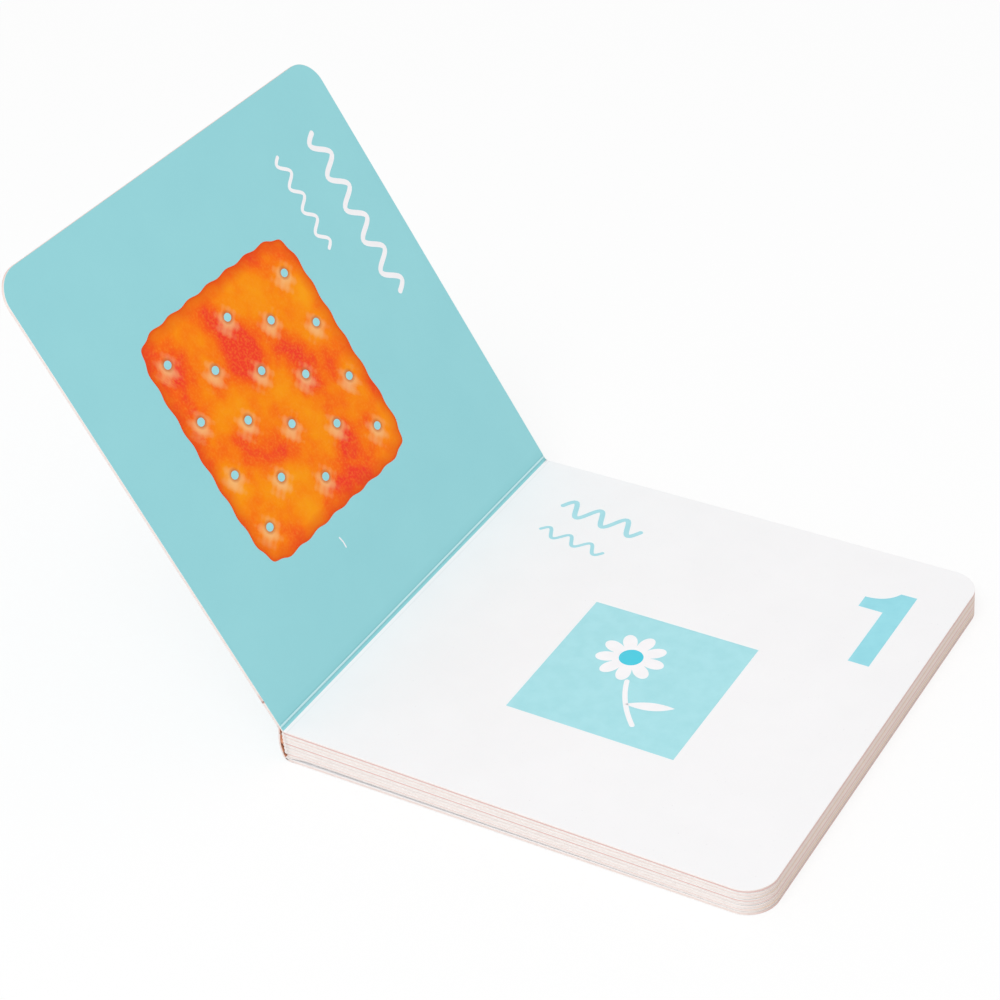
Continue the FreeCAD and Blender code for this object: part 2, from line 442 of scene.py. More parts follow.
def strip_along_fold(name, inner, outer, finishes, crumple=None):
    """A bent strip of board from head to tail.  inner and outer are its section's two sides as
    (x, z) points, and finishes are for the inner side, the outer side and the cut ends."""
    across = len(inner)
    section = list(inner) + list(reversed(outer))
    around = len(section)
    rows = np.concatenate([np.linspace(0, 8, 12), np.linspace(8, PAGE_HEIGHT, 50)[1:]]) - HALF_HEIGHT
    points = []
    for y in rows:
        for k, (x, z) in enumerate(section):
            side = k if k < across else around - 1 - k
            dx, dz = crumple(y, side / (across - 1)) if crumple else (0.0, 0.0)
            points.append((x + dx, y, z + dz))
    faces, finish_of_face = [], []
    for j in range(len(rows) - 1):
        for k in range(around):
            following = (k + 1) % around
            low, high = j * around, (j + 1) * around
            faces.append((low + k, high + k, high + following, low + following))
            on_cut = k in (across - 1, around - 1)
            finish_of_face.append(2 if on_cut else (0 if k < across - 1 else 1))
    tail_end = (len(rows) - 1) * around
    for k in range(across - 1):
        a, b, c, d = k, k + 1, around - 2 - k, around - 1 - k
        faces.append((a, b, c, d))
        faces.append(tuple(tail_end + corner for corner in (d, c, b, a)))
        finish_of_face += [2, 2]
    ends = 2 * (across - 1)
    smooth = [True] * (len(faces) - ends) + [False] * ends
    piece = mesh_piece(name, points, faces, finishes, finish_of_face, smooth)
    shares = [0.0 if k < across else 1.0 for k in range(around)]
    store(piece, "ply", shares * len(rows))
    store(piece, "reach", [math.hypot(x - GUTTER_X, z - GUTTER_Z) for x, y, z in points])
    return piece


fold_edge = cut_board("cut_edge_fold", [(0.5, 0.04, GREY)], [])
raw_face = cut_board("raw_board", [], [], coated=(False, False))
for index in range(1, LEAF_COUNT):
    middle = boundary_height(0.0, index)
    crease, back = fold_section(middle, CREASE_HALF_HEIGHT, FOLD_HALF_HEIGHT, roundness=0.5)
    fold = strip_along_fold(f"fold_{index}", crease, back, [white_page, fold_edge, fold_edge])
    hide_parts("page_block")
    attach(fold, "pages")


# The front cover leaf: the teal first page
# Half of the first spread is pasted inside the front cover.  A score beside the gutter fold
# made two grooves and a bead, with a painted highlight along the bead and painted shade in the grooves
# and towards the gutter.
OPEN_ANGLE = 120.5
CLOSED_CLEARANCE = 0.1
FOLD_CLEARANCE = 0.2
SCORE_OFFSET = 1.4
SCORE_WIDTH = 0.28
SCORE_DEPTH = 0.12
SCORE_BEAD = 0.6
BEAD_RISE = 0.05
SMOOTH_TO = 2.7
NICK = 10.2
NICK_DEPTH = 0.3
NICK_WIDTH = 0.3
FORE_Z = boundary_height(PAGE_WIDTH, LEAF_COUNT)
LEAN = math.radians(OPEN_ANGLE) - math.atan2(GUTTER_Z - FORE_Z, PAGE_WIDTH)


def lay_on_cover(s, y, height):
    """A place on the open cover leaf: height is measured outward from the hinge."""
    x = s * math.cos(LEAN) - height * math.sin(LEAN)
    z = s * math.sin(LEAN) + height * math.cos(LEAN)
    return (GUTTER_X + x, y, GUTTER_Z + z)


def score_relief(s):
    """How far the score has moved the page's face: down in its two grooves, up on its bead."""
    off = abs(s - SCORE_OFFSET) - SCORE_BEAD / 2
    if off < 0:
        return BEAD_RISE * math.sin(math.pi * -off / SCORE_BEAD)
    if off < SCORE_WIDTH:
        return -SCORE_DEPTH * math.sin(math.pi * off / SCORE_WIDTH)
    return 0.0


def first_page_face(s, y):
    """The printed face, which meets the block when the cover is closed."""
    return CLOSED_CLEARANCE - score_relief(s)


def first_page_back(s, y):
    """The pasted face, which the wrap's front panel is on."""
    return CLOSED_CLEARANCE + SHEET


def teal_page():
    """Printed teal with a satin coat, a painted highlight along the score's bead, and painted shade in
    its grooves and towards the gutter.
    """
    material, tree, shader = new_finish("teal_page", 0.45, 0.3)
    cloud = grain_of(tree, 45.0, detail=4.0)
    tint = ramp_of(tree, cloud, [(0.3, ink(147, 212, 219)), (0.7, ink(153, 217, 223))])
    speckled = mixed(tree, grain_of(tree, 1500.0, detail=2.0), tint, ink(150, 215, 221))
    near_edge, far_edge = SCORE_OFFSET - SCORE_BEAD / 2, SCORE_OFFSET + SCORE_BEAD / 2
    span = 8.0
    # Painted shade: darker teal towards the gutter, in the score's grooves and just past them.
    gutter_and_groove_shade = strength_along(tree, "reach", span, [
        (0.0, 0.2), (near_edge - SCORE_WIDTH - 0.1, 0.5), (near_edge - 0.16, 1.0), (near_edge, 0.6),
        (far_edge, 0.9), (far_edge + SCORE_WIDTH, 0.5), (far_edge + 1.0, 0.25), (5.0, 0.0), (span, 0.0),
    ])
    # Painted highlight: pale teal along the top of the score's bead, and a little at the gutter.
    bead_highlight = strength_along(tree, "reach", span, [
        (0.0, 0.25), (0.12, 0.0), (near_edge - 0.16, 0.0), (near_edge + 0.08, 0.5),
        (near_edge + 0.25, 0.9), (far_edge - 0.02, 0.9), (far_edge + 0.08, 0.0), (span, 0.0),
    ])
    shaded = mixed(tree, gutter_and_groove_shade, speckled, ink(134, 203, 210))
    tree.links.new(mixed(tree, bead_highlight, shaded, ink(203, 237, 241)), shader.inputs["Base Color"])
    add_tooth(tree, shader)
    return material


def nicked(s, y, share):
    """How far the small nick in the cover leaf's tail edge reaches in."""
    return -NICK_DEPTH * math.exp(-(((s - NICK) / NICK_WIDTH) ** 2)) if y < 0 else 0.0


teal = teal_page()
inside_edge = cut_board(
    "cut_edge_inside", [(0.6, 0.06, BLUSH)], [(0.6, 0.08, HANDLED_AND_SHADED_PINK)], (True, False), NICK
)
score_shares = (-0.64, -0.48, -0.38, -0.3, -0.2, -0.1, 0.0, 0.1, 0.2, 0.3, 0.38, 0.48, 0.58, 0.68)
score_columns = [SCORE_OFFSET + share for share in score_shares]
nick_columns = [NICK + share for share in (-0.7, -0.35, -0.15, 0.0, 0.15, 0.35, 0.7)]
close_columns = (0.5, *score_columns, 2.6, 5.0, *nick_columns)
first_page = board_sheet(
    "first_page_sheet", page_columns(FOLD_CLEARANCE, close_to=close_columns),
    first_page_face, first_page_back, lay_on_cover,
    [raw_face, teal, inside_edge], smooth_below=SMOOTH_TO, dent=nicked,
)
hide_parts("first_page")
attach(first_page, "front_leaf")


# The front cover leaf: the wrap's front panel
# One sheet of board, printed teal outside under a satin film, pasted to the first page's back.
def cover_face(s, y):
    """The outside of the front cover."""
    return CLOSED_CLEARANCE + LEAF


def laminated_cover():
    """The wrap's outside: plain teal under a satin film that shows a faint orange-peel."""
    material, tree, shader = new_finish("laminated_cover", 0.3, 0.45)
    cloud = grain_of(tree, 30.0, detail=4.0)
    tint = ramp_of(tree, cloud, [(0.3, ink(140, 202, 210)), (0.7, ink(148, 208, 216))])
    tree.links.new(tint, shader.inputs["Base Color"])
    shader.inputs["Coat Weight"].default_value = 0.35
    shader.inputs["Coat Roughness"].default_value = 0.22
    raise_by(tree, shader, grain_of(tree, 420.0), 0.008)
    return material


laminate = laminated_cover()
wrap_edge = cut_board(
    "cut_edge_wrap", [(0.45, 0.06, PINK)], [(0.45, 0.1, HANDLED_AND_SHADED_PINK)], (False, True), NICK
)
front_panel = board_sheet(
    "front_panel", page_columns(SCORE_OFFSET, close_to=(2.6, 5.0, *nick_columns)),
    first_page_back, cover_face, lay_on_cover, [laminate, raw_face, wrap_edge], dent=nicked,
)
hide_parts("front_cover")
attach(front_panel, "front_leaf")


# The back cover leaf
# The wrap's back panel lies on the table, with half of the last spread pasted on it.  A round
# fold joins that page to the lowest inner leaf, as on the other spreads.
# The dark line high on the last page's fore edge is painted shade from the gap above that page.
last_edge = cut_board(
    "cut_edge_last", [(0.17, 0.1, PINK)], [(0.15, 0.07, PALE), (0.62, 0.15, GAP_SHADE)], (False, True)
)
last_page = board_sheet(
    "last_page_sheet", page_columns(FOLD_CLEARANCE, close_to=(2.6, 4.0)),
    lambda s, y: SHEET, lambda s, y: LEAF, lay_on_table, [white_page, raw_face, last_edge],
)
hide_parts("last_page")
back_edge = cut_board(
    "cut_edge_back", [(0.8, 0.1, BLUSH)], [(0.45, 0.2, ink(216, 160, 158))], (True, False)
)
back_panel = board_sheet(
    "back_panel", page_columns(SCORE_OFFSET, close_to=(2.6, 4.0)),
    lambda s, y: 0.0, lambda s, y: SHEET, lay_on_table, [raw_face, laminate, back_edge],
)
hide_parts("back_cover")
for piece in (last_page, back_panel):
    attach(piece, "back_leaf")

foot_of_block = LEAF + WEDGE_AT_FOLD
middle = (LEAF + foot_of_block) / 2
crease, back = fold_section(middle, WEDGE_AT_FOLD / 2, SHEET + WEDGE_AT_FOLD / 2, roundness=1.0)
inside_x = GUTTER_X + FOLD_CLEARANCE
crease = [(inside_x, LEAF), *crease, (inside_x, foot_of_block)]
back = [(inside_x, SHEET), *back, (inside_x, foot_of_block + SHEET)]
foot_fold = strip_along_fold("foot_fold", crease, back, [white_page, fold_edge, fold_edge])
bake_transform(foot_fold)


# The spine strip
# The middle of the wrap, between its two scores.  It stands off the folds and bows outward, and
# the amber glue that holds it shows in the hollow at the tail.
SPINE_STANDOFF = 1.3
SPINE_BOW = 0.47
STRIP_INSET = 0.25
STRIP_FOOT = 2 * LEAF + STRIP_INSET
STRIP_TOP = GUTTER_Z - CLOSED_CLEARANCE - LEAF - STRIP_INSET
STRIP_INNER_X = GUTTER_X - SPINE_STANDOFF


def bow_at(share):
    """How far the strip bows outward at a share of its height."""
    return SPINE_BOW * (1 - (2 * share - 1) ** 2)


def spine_side(outward, count=15):
    """One side of the spine strip's section, from its foot to its top."""
    side = []
    for share in np.linspace(0, 1, count):
        x = STRIP_INNER_X - bow_at(share) - outward
        side.append((x, STRIP_FOOT + share * (STRIP_TOP - STRIP_FOOT)))
    return side


def set_glue():
    """Amber-brown glue, lighter where it is thin over the paper and darker in its pits."""
    material, tree, shader = new_finish("set_glue", 0.35, 0.5)
    pooled = grain_of(tree, 420.0, detail=4.0, stretch=(1.0, 0.5, 1.0))
    amber = ramp_of(tree, pooled, [
        (0.3, ink(128, 92, 80)), (0.42, ink(190, 122, 88)),
        (0.55, ink(222, 152, 116)), (0.7, ink(240, 194, 160)),
    ])
    tree.links.new(amber, shader.inputs["Base Color"])
    raise_by(tree, shader, pooled, 0.08)
    return material


glue = set_glue()
for glue_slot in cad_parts["spine_glue"].material_slots:
    glue_slot.material = glue
spine_edge = cut_board("cut_edge_spine", [(0.25, 0.08, BLUSH), (0.78, 0.06, PINK)], [], (False, False))
spine = strip_along_fold(
    "spine_strip", spine_side(0.0)[::-1], spine_side(SHEET)[::-1], [glue, laminate, spine_edge]
)
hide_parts("spine")
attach(spine, "pages")

# Glue pressed out to the tail in the upper part of the hollow, as a lumpy bead
BEAD_FOOT = 4.4
BEAD_TOP = 9.7
BEAD_LENGTH = 1.5
BEAD_SEAM = 0.02
points, faces = [], []
levels = np.linspace(0, 1, 17)
for share in levels:
    z = BEAD_FOOT + share * (BEAD_TOP - BEAD_FOOT)
    along_strip = (z - STRIP_FOOT) / (STRIP_TOP - STRIP_FOOT)
    left = STRIP_INNER_X - bow_at(along_strip) - BEAD_SEAM
    right = GUTTER_X - 0.9 * FOLD_BULGE
    swell = 0.6 * math.sin(math.pi * share) ** 0.6
    front = -HALF_HEIGHT + 0.75 - swell + 0.07 * math.sin(11 * share)
    for across in np.linspace(0, 1, 6):
        dip = 0.3 * (2 * across - 1) ** 2 + 0.05 * math.sin(7 * across + 9 * share)
        points.append((left + across * (right - left), front + dip, z))
    points += [(right, BEAD_LENGTH - HALF_HEIGHT, z), (left, BEAD_LENGTH - HALF_HEIGHT, z)]
around = len(points) // len(levels)
for level in range(len(levels) - 1):
    for k in range(around):
        low, following = level * around, (k + 1) % around
        faces.append((low + k, low + following, low + around + following, low + around + k))
faces.append(tuple(reversed(range(around))))
faces.append(tuple(range(len(points) - around, len(points))))
smooth = [True] * (len(faces) - 2) + [False] * 2
bead = mesh_piece("glue_bead", points, faces, [glue], [0] * len(faces), smooth)
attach(bead, "pages")


# The wrap's creases
# Where the wrap turns from the spine strip into its two panels the board is scored and bent,
# and at the tail the bend beside the front panel has crumpled.
TOP_BEND_INSIDE = (-76.17, 11.0)
TOP_BEND_OUTSIDE = (-76.75, 11.2)
FOOT_BEND_INSIDE = (-75.9, SHEET)
FOOT_BEND_OUTSIDE = (-76.5, 0.0)
DENT_DEPTH = 0.16
DENT_LENGTH = 3.0


def curve(start, control, end, count=11):
    """Points along a curve that leaves start towards control and comes into end from it."""
    points = []
    for t in np.linspace(0, 1, count):
        weights = ((1 - t) ** 2, 2 * t * (1 - t), t * t)
        points.append(tuple(
            sum(w * p[axis] for w, p in zip(weights, (start, control, end))) for axis in (0, 1)
        ))
    return points


def cover_section(s, height):
    """A place on the open cover leaf's section, as (x, z)."""
    x, y, z = lay_on_cover(s, 0.0, height)
    return (x, z)


def crumpled(y, share):
    """The dents of the tail's bruised crease, strongest at its middle and gone within 7 mm."""
    depth = DENT_DEPTH * math.exp(-(((y + HALF_HEIGHT) / DENT_LENGTH) ** 2)) * math.sin(math.pi * share)
    return (depth * math.sin(2.1 * y + 9 * share), depth * math.cos(3.7 * y + 5 * share))


def bruised_board():
    """The crumpled cut end: split plies, blotched from brown to white."""
    material, tree, shader = new_finish("bruised_edge", 0.85, 0.1)
    splits = grain_of(tree, 520.0, detail=5.0)
    plies_shown = ramp_of(tree, splits, [
        (0.36, ink(178, 140, 124)), (0.43, ink(232, 208, 200)), (0.52, ink(252, 243, 239)),
        (0.62, ink(240, 216, 210)), (0.68, ink(196, 152, 142)),
    ])
    tree.links.new(plies_shown, shader.inputs["Base Color"])
    raise_by(tree, shader, splits, 0.1)
    return material


bruised = bruised_board()
panel_inside = cover_section(SCORE_OFFSET, CLOSED_CLEARANCE + SHEET)
panel_outside = cover_section(SCORE_OFFSET, CLOSED_CLEARANCE + LEAF)
top_inner = curve(spine_side(0.0)[-1], TOP_BEND_INSIDE, panel_inside)
top_outer = curve(spine_side(SHEET)[-1], TOP_BEND_OUTSIDE, panel_outside)
front_crease = strip_along_fold(
    "front_crease", top_inner[::-1], top_outer[::-1], [glue, laminate, bruised], crumpled
)
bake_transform(front_crease)

foot_inner = curve((GUTTER_X + SCORE_OFFSET, SHEET), FOOT_BEND_INSIDE, spine_side(0.0)[0])
foot_outer = curve((GUTTER_X + SCORE_OFFSET, 0.0), FOOT_BEND_OUTSIDE, spine_side(SHEET)[0])
back_crease = strip_along_fold(
    "back_crease", foot_inner[::-1], foot_outer[::-1], [glue, laminate, spine_edge]
)
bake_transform(back_crease)


# The gutter fold
# The first spread bends open at the gutter: white on the block's side, and teal from the
# middle of the fold on.  Its two borders are sunk a little under the pages they run into.
FOLD_REACH = 0.55
FOLD_SINK = 0.01
CREST_RISE = 0.03
opening = LEAN / 2
behind = (GUTTER_X - FOLD_BULGE * math.cos(opening), GUTTER_Z - FOLD_BULGE * math.sin(opening))
page_height = boundary_height(FOLD_REACH, LEAF_COUNT)
on_page = (GUTTER_X + FOLD_REACH, page_height - FOLD_SINK)
under_page = (GUTTER_X + FOLD_REACH, page_height - SHEET)
on_teal = cover_section(FOLD_REACH, CLOSED_CLEARANCE + FOLD_SINK)
under_teal = cover_section(FOLD_REACH, CLOSED_CLEARANCE + SHEET)
crest = curve(on_page, (GUTTER_X, GUTTER_Z + CREST_RISE), on_teal, 13)
back = curve(under_page, behind, under_teal, 13)
gutter_fold = strip_along_fold("gutter_fold", crest, back, [white_page, fold_edge, fold_edge])
gutter_fold.data.materials.append(teal)
teal_from = (len(crest) - 1) // 2
section_faces = 2 * len(crest)
for face in gutter_fold.data.polygons:
    if face.material_index == 0 and face.index % section_faces >= teal_from:
        face.material_index = 3
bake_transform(gutter_fold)


# The print on the pages
# Flat inks under the coat.  Each shape is a film far thinner than the paper, and its place
# is given as it is read, in millimetres from the gutter and from the page's middle height.
INK_SINK = 0.004
FIRST_INK = 0.01
SECOND_INK = 0.016
THIRD_INK = 0.022


def lay_on_page(s, y, rise):
    """A place on the white page, as much above it as rise."""
    return lay_on_table(s, y, boundary_height(s, LEAF_COUNT) + rise)


def lay_on_teal(s, y, rise):
    """A place on the teal page, as much above it as rise."""
    return lay_on_cover(s, y, CLOSED_CLEARANCE - rise)


def printed_shapes(name, outlines, lay, rise, finish, body):
    """One film of ink made of closed outlines of (s, y) points."""
    points, faces = [], []
    for outline in outlines:
        first, count = len(points), len(outline)
        points += [lay(s, y, rise) for s, y in outline]
        points += [lay(s, y, -INK_SINK) for s, y in outline]
        faces.append(tuple(range(first, first + count)))
        faces.append(tuple(reversed(range(first + count, first + 2 * count))))
        for k in range(count):
            following = (k + 1) % count
            low = first + count
            faces.append((first + following, first + k, low + k, low + following))
    if lay is lay_on_teal:
        faces = [tuple(reversed(face)) for face in faces]
    piece = mesh_piece(name, points, faces, [finish], [0] * len(faces), [False] * len(faces))
    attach(piece, body)
    return piece


def stroke(points, width):
    """The outline of a pen stroke with round ends, along (s, y) points."""
    line = np.array(points)
    along = np.gradient(line, axis=0)
    along /= np.linalg.norm(along, axis=1)[:, None]
    across = np.column_stack([-along[:, 1], along[:, 0]]) * width / 2
    turns = np.linspace(0, math.pi, 9)[1:-1]
    cap_end = [line[-1] + along[-1] * width / 2 * math.sin(t) - across[-1] * math.cos(t) for t in turns]
    cap_start = [line[0] - along[0] * width / 2 * math.sin(t) + across[0] * math.cos(t) for t in turns]
    outline = [*(line - across), *cap_end, *(line + across)[::-1], *cap_start]
    return [tuple(point) for point in outline]


def wavy_line(start, end, height, waves, width):
    """A pen stroke that waves evenly from start to end."""
    shares = np.linspace(0, 1, 20 * waves + 1)
    start, end = np.array(start), np.array(end)
    aside = np.array([-(end - start)[1], (end - start)[0]]) / np.linalg.norm(end - start)
    turns = [2 * math.pi * waves * t for t in shares]
    points = [
        start + t * (end - start) + aside * height / 2 * math.sin(turn) for t, turn in zip(shares, turns)
    ]
    return stroke(points, width)


def ellipse(middle, across, high, count=40):
    """An ellipse's outline."""
    turns = np.linspace(0, 2 * math.pi, count, endpoint=False)
    return [(middle[0] + across / 2 * math.cos(t), middle[1] + high / 2 * math.sin(t)) for t in turns]


def flat_ink(name, shade, mottled):
    """An ink laid flat under the coat, faintly mottled towards a second shade."""
    material, tree, shader = new_finish(name, 0.45, 0.3)
    cloud = grain_of(tree, 260.0, detail=4.0)
    tint = ramp_of(tree, cloud, [(0.35, shade), (0.65, mottled)])
    tree.links.new(tint, shader.inputs["Base Color"])
    add_tooth(tree, shader)
    return material


aqua = flat_ink("aqua_ink", ink(172, 227, 234), ink(166, 223, 230))
aqua_pen = flat_ink("aqua_pen", ink(172, 224, 232), ink(166, 220, 229))
numeral_ink = flat_ink("numeral_ink", ink(154, 222, 233), ink(148, 217, 229))
cyan = flat_ink("cyan_ink", ink(70, 206, 227), ink(78, 204, 226))
unprinted = flat_ink("unprinted_white", ink(251, 248, 250), ink(247, 245, 247))

# The aqua square, with a daisy in white and cyan
SQUARE_MIDDLE = (77.9, -10.8)
SQUARE = 53.4
FOUR_CORNERS = ((-1, -1), (1, -1), (1, 1), (-1, 1))
half = SQUARE / 2
square = [(SQUARE_MIDDLE[0] + a * half, SQUARE_MIDDLE[1] + b * half) for a, b in FOUR_CORNERS]
printed_shapes("aqua_square", [square], lay_on_page, FIRST_INK, aqua, "pages")
DAISY_MIDDLE = (73.0, -3.0)
PETALS = 9
PETAL_REACH = 10.5
turns = np.linspace(0, 2 * math.pi, 45 * PETALS, endpoint=False)
daisy = []
for turn in turns:
    reach = PETAL_REACH * (0.45 + 0.55 * abs(math.cos(PETALS * turn / 2)) ** 0.55)
    daisy.append((DAISY_MIDDLE[0] + reach * math.cos(turn), DAISY_MIDDLE[1] + reach * math.sin(turn)))
stem = stroke(curve((77.0, -13.0), (80.0, -22.0), (87.5, -29.5), 21), 1.5)
LEAF_BASE = (81.2, -22.2)
LEAF_TIP = (95.0, -18.0)
sprig = curve(LEAF_BASE, (87.5, -17.0), LEAF_TIP, 15)
sprig += curve(LEAF_TIP, (90.0, -23.5), LEAF_BASE, 15)[1:-1]
printed_shapes(
    "daisy_white", [daisy, stem, sprig], lay_on_page, SECOND_INK, unprinted, "pages"
)
DAISY_HEART = 7.2
heart = ellipse(DAISY_MIDDLE, DAISY_HEART, DAISY_HEART)
printed_shapes("daisy_middle", [heart], lay_on_page, THIRD_INK, cyan, "pages")

# The numeral at the head of the fore edge, plain, and the two pen lines beside it
numeral = [(129.5, 22.7), (136.0, 22.7), (136.0, 57.8), (131.0, 57.8)]
numeral += curve((131.0, 57.8), (128.5, 52.6), (121.8, 52.4), 9)[1:]
numeral += [(121.8, 47.4), (129.5, 47.4)]
printed_shapes("numeral", [numeral], lay_on_page, FIRST_INK, numeral_ink, "pages")
white_page_lines = [
    wavy_line((17.6, 55.0), (46.5, 52.4), 7.0, 3, 1.7),
    wavy_line((17.4, 41.2), (41.0, 38.0), 4.2, 3, 1.2),
]
printed_shapes(
    "aqua_pen_lines", white_page_lines, lay_on_page, FIRST_INK, aqua_pen, "pages"
)
teal_page_lines = [
    wavy_line((130.0, 59.0), (74.4, 57.0), 6.6, 5, 1.8),
    wavy_line((130.4, 41.0), (99.0, 40.0), 4.0, 4, 1.2),
]
printed_shapes(
    "white_pen_lines", teal_page_lines, lay_on_teal, FIRST_INK, unprinted, "front_leaf"
)
scuff = stroke([(29.9, -18.4), (28.2, -18.0), (26.4, -18.1)], 0.45)
printed_shapes("scuff", [scuff], lay_on_teal, FIRST_INK, unprinted, "front_leaf")


# The picture on the teal page
# A printed square biscuit with a scalloped rim and holes in staggered rows.  Its orange is
# blotched with red, browner at the rim, and each hole has a pale halo and shows the teal.
BISCUIT_MIDDLE = (74.5, -10.2)
BISCUIT_WIDTH = 77.0
BISCUIT_HEIGHT = 73.5
SCALLOPS_A_SIDE = 8
SQUARENESS = 9
HOLE = 2.9
HALO = 3.6
HALO_SHIFT = 1.1
HOLE_ROWS = 5
HOLE_PITCH = 18.4
ROW_PITCH = 14.6
WANDER = 0.5


def biscuit_rim(t):
    """The rim at t, from 0 to 4 for its four sides."""
    side, share = int(t) % 4, t - int(t)
    on_side = 2 * share - 1
    a, b = ((1, on_side), (-on_side, 1), (-1, -on_side), (on_side, -1))[side]
    turn = math.atan2(b, a)
    sides = abs(math.cos(turn)) ** SQUARENESS + abs(math.sin(turn)) ** SQUARENESS
    reach = sides ** (-1 / SQUARENESS)
    scallop = 0.008 * math.cos(2 * math.pi * SCALLOPS_A_SIDE * share)
    reach *= 1 + scallop + 0.006 * math.sin(3 * turn + 1)
    return (reach * math.cos(turn) * BISCUIT_WIDTH / 2, reach * math.sin(turn) * BISCUIT_HEIGHT / 2)


holes = []
for row in range(HOLE_ROWS):
    in_row = 4 if row % 2 == 0 else 3
    for k in range(in_row):
        a = (k - (in_row - 1) / 2) * HOLE_PITCH + WANDER * math.sin(5 * row + 3 * k)
        b = (row - HOLE_ROWS // 2) * ROW_PITCH + WANDER * math.cos(4 * row + 2 * k)
        holes.append((BISCUIT_MIDDLE[0] + a, BISCUIT_MIDDLE[1] + b))

RINGS = 60
ROUND = 320
rim_points = [biscuit_rim(4 * k / ROUND) for k in range(ROUND)]
points, rim_shade, halo_shade, pit_shade = [], [], [], []
for ring in range(RINGS + 1):
    for a, b in rim_points if ring else rim_points[:1]:
        share = ring / RINGS
        s, y = BISCUIT_MIDDLE[0] + share * a, BISCUIT_MIDDLE[1] + share * b
        points.append(lay_on_teal(s, y, FIRST_INK))
        rim_shade.append((1 - share) * math.hypot(a, b))
        nearest = min(math.hypot(s - hs, y - hy) for hs, hy in holes)
        lit_side = min(math.hypot(s - hs + HALO_SHIFT, y - hy + HALO_SHIFT) for hs, hy in holes)
        uneven = 1 + 0.22 * math.sin(0.9 * s + 1.3 * y) + 0.12 * math.sin(2.3 * s - 1.7 * y)
        halo_shade.append(math.exp(-((lit_side / (HALO * uneven)) ** 2)))
        pit_shade.append(math.exp(-((nearest / (0.75 * HOLE)) ** 4)))
for a, b in rim_points:
    points.append(lay_on_teal(BISCUIT_MIDDLE[0] + a, BISCUIT_MIDDLE[1] + b, -INK_SINK))
    rim_shade.append(0.0)
    halo_shade.append(0.0)
    pit_shade.append(0.0)
faces = [(0, 1 + (k + 1) % ROUND, 1 + k) for k in range(ROUND)]
for ring in range(1, RINGS):
    inner, outer = 1 + (ring - 1) * ROUND, 1 + ring * ROUND
    for k in range(ROUND):
        following = (k + 1) % ROUND
        faces.append((inner + k, inner + following, outer + following, outer + k))
last_ring, foot_ring = 1 + (RINGS - 1) * ROUND, 1 + RINGS * ROUND
for k in range(ROUND):
    following = (k + 1) % ROUND
    faces.append((last_ring + k, last_ring + following, foot_ring + following, foot_ring + k))
faces.append(tuple(range(foot_ring, foot_ring + ROUND)))


def baked_print():
    """The printed crust: orange blotched with red, toasted at the rim and pale round the holes."""
    material, tree, shader = new_finish("baked_print", 0.55, 0.1)
    crust = ramp_of(tree, grain_of(tree, 55.0, detail=3.0), [
        (0.3, ink(255, 160, 10)), (0.42, ink(255, 140, 0)), (0.5, ink(254, 118, 6)),
        (0.57, ink(251, 92, 20)), (0.63, ink(246, 64, 38)),
    ])
    crumb = strength(tree, grain_of(tree, 1300.0, detail=3.0), [(0.45, 0.0), (0.75, 0.35)])
    speckled = mixed(tree, crumb, crust, ink(255, 160, 50))
    soft = strength(tree, share_stored_as(tree, "halo"), [(0.15, 0.0), (0.9, 0.62)])
    glowing = mixed(tree, soft, speckled, ink(252, 204, 142))
    toast = strength_along(tree, "rim", 5.0, [(0.0, 0.9), (1.2, 0.5), (5.0, 0.0)])
    toasted = mixed(tree, toast, glowing, ink(228, 74, 18))
    sunk = strength(tree, share_stored_as(tree, "pit"), [(0.2, 0.0), (0.9, 0.8)])
    tree.links.new(mixed(tree, sunk, toasted, ink(188, 96, 44)), shader.inputs["Base Color"])
    add_tooth(tree, shader)
    return material


flat = [False] * len(faces)
biscuit = mesh_piece("biscuit_print", points, faces, [baked_print()], [0] * len(faces), flat)
store(biscuit, "rim", rim_shade)
store(biscuit, "halo", halo_shade)
store(biscuit, "pit", pit_shade)
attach(biscuit, "front_leaf")
hole_ink = flat_ink("hole_ink", ink(160, 222, 229), ink(153, 216, 224))
hole_outlines = [ellipse(hole, 0.88 * HOLE, HOLE, 24) for hole in holes]
printed_shapes(
    "biscuit_holes", hole_outlines, lay_on_teal, SECOND_INK, hole_ink, "front_leaf"
)


# The floor and the light
# A pale sweep under soft light from the tail side, at a level that shows colours as they are.
# Lengths are in metres from here on.
FLOOR_HALF = 4.0
FLOOR_Z = -0.0001
FLOOR_SHADE = 0.97
FLOOR_GLOW = 0.78
AMBIENT = 0.69
floor_mesh = bpy.data.meshes.new("floor")
corners = [(a * FLOOR_HALF, b * FLOOR_HALF, FLOOR_Z) for a, b in FOUR_CORNERS]
floor_mesh.from_pydata(corners, [], [(0, 1, 2, 3)])
floor = bpy.data.objects.new("floor", floor_mesh)
bpy.context.scene.collection.objects.link(floor)
floor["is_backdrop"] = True
pale, tree, shader = new_finish("pale_floor", 0.9, 0.0)
shader.inputs["Base Color"].default_value = (FLOOR_SHADE, FLOOR_SHADE, FLOOR_SHADE, 1)
glow = add_node(tree, "ShaderNodeEmission", {"Color": (1, 1, 1, 1), "Strength": 1.0})
rays = add_node(tree, "ShaderNodeLightPath", {}).outputs
inputs = {0: rays["Is Camera Ray"], 1: FLOOR_GLOW}
seen = add_node(tree, "ShaderNodeMath", inputs, operation="MULTIPLY")
blended = add_node(tree, "ShaderNodeMixShader", {"Fac": seen.outputs[0]})
tree.links.new(shader.outputs["BSDF"], blended.inputs[1])
tree.links.new(glow.outputs["Emission"], blended.inputs[2])
tree.links.new(blended.outputs["Shader"], tree.nodes["Material Output"].inputs["Surface"])
floor_mesh.materials.append(pale)

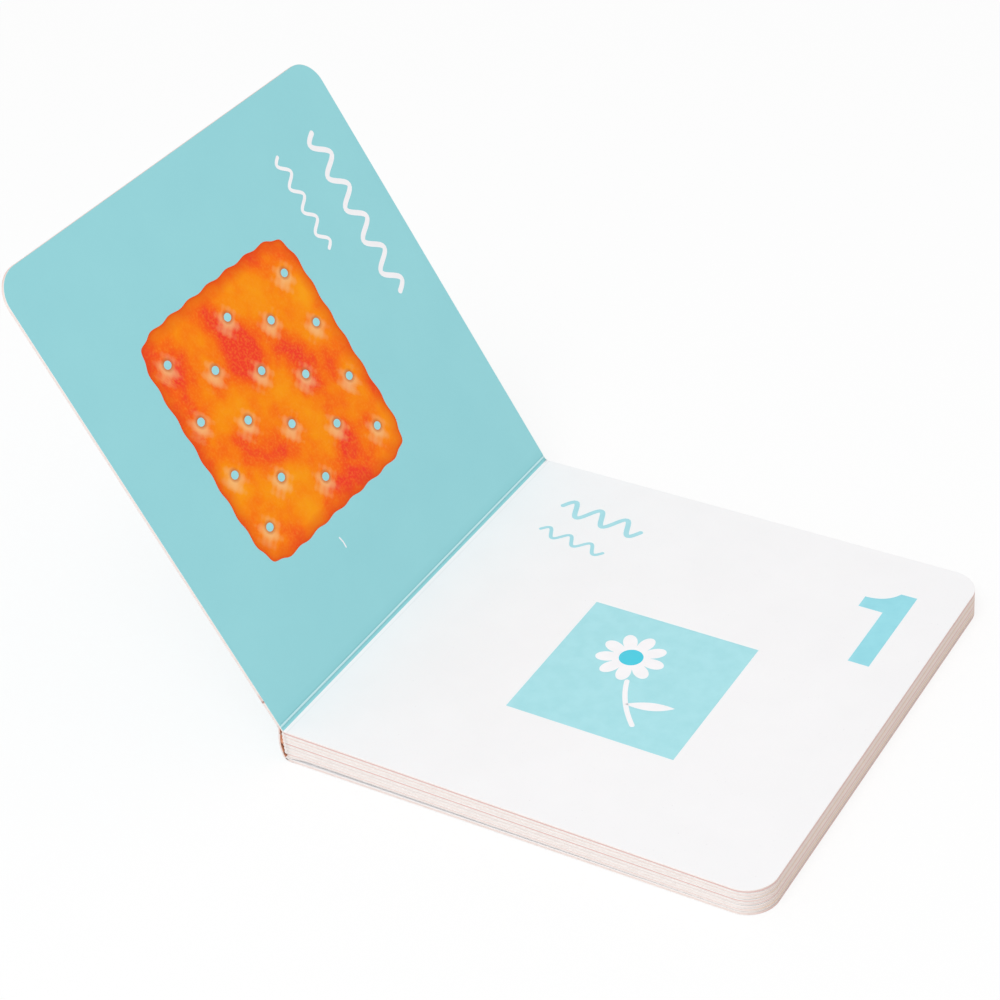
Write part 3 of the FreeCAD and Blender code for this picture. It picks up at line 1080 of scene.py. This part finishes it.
world = bpy.data.worlds.new("studio")
bpy.context.scene.world = world
world.use_nodes = True
tree = world.node_tree
rays = add_node(tree, "ShaderNodeLightPath", {}).outputs
straight_in = rays["Is Camera Ray"]
for kind in ("Is Glossy Ray", "Is Transmission Ray"):
    inputs = {0: straight_in, 1: rays[kind]}
    straight_in = add_node(tree, "ShaderNodeMath", inputs, operation="MAXIMUM").outputs[0]
inputs = {"Value": straight_in, "To Min": AMBIENT, "To Max": 1.0}
brightness = add_node(tree, "ShaderNodeMapRange", inputs)
background = tree.nodes["Background"]
background.inputs["Color"].default_value = (1, 1, 1, 1)
tree.links.new(brightness.outputs["Result"], background.inputs["Strength"])


def turn_towards(place, aim):
    """The turn that points a lamp's or a camera's -Z from place to aim, with Y up."""
    return (Vector(aim) - Vector(place)).to_track_quat("-Z", "Y")


def soft_lamp(name, place, aim, size, power):
    """A square soft box that faces a point."""
    light = bpy.data.lights.new(name, "AREA")
    light.size = size
    light.energy = power
    lamp = bpy.data.objects.new(name, light)
    bpy.context.scene.collection.objects.link(lamp)
    lamp.location = place
    lamp.rotation_euler = turn_towards(place, aim).to_euler()


soft_lamp("key", place=(0.1, -1.2, 2.1), aim=(0.0, 0.0, 0.03), size=1.4, power=23.0)


# The camera
# It looks down on the book from its tail and fore edge, tipped a little to one side.
camera_data = bpy.data.cameras.new("camera")
camera_data.sensor_width = 36.0
camera_data.lens = 90.03
camera = bpy.data.objects.new("camera", camera_data)
bpy.context.scene.collection.objects.link(camera)
CAMERA_PLACE = (0.2893, -0.49311, 0.45993)
CAMERA_AIM = (-0.0772, 0.04914, 0.0112)
CAMERA_ROLL = math.radians(-5.868)
camera.location = CAMERA_PLACE
camera.rotation_mode = "QUATERNION"
roll = Quaternion((0, 0, 1), CAMERA_ROLL)
camera.rotation_quaternion = turn_towards(CAMERA_PLACE, CAMERA_AIM) @ roll
bpy.context.scene.camera = camera
bpy.context.scene.view_settings.view_transform = "Standard"

low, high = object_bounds()
for corner in (cad_low, cad_high, low, high):
    list(corner)
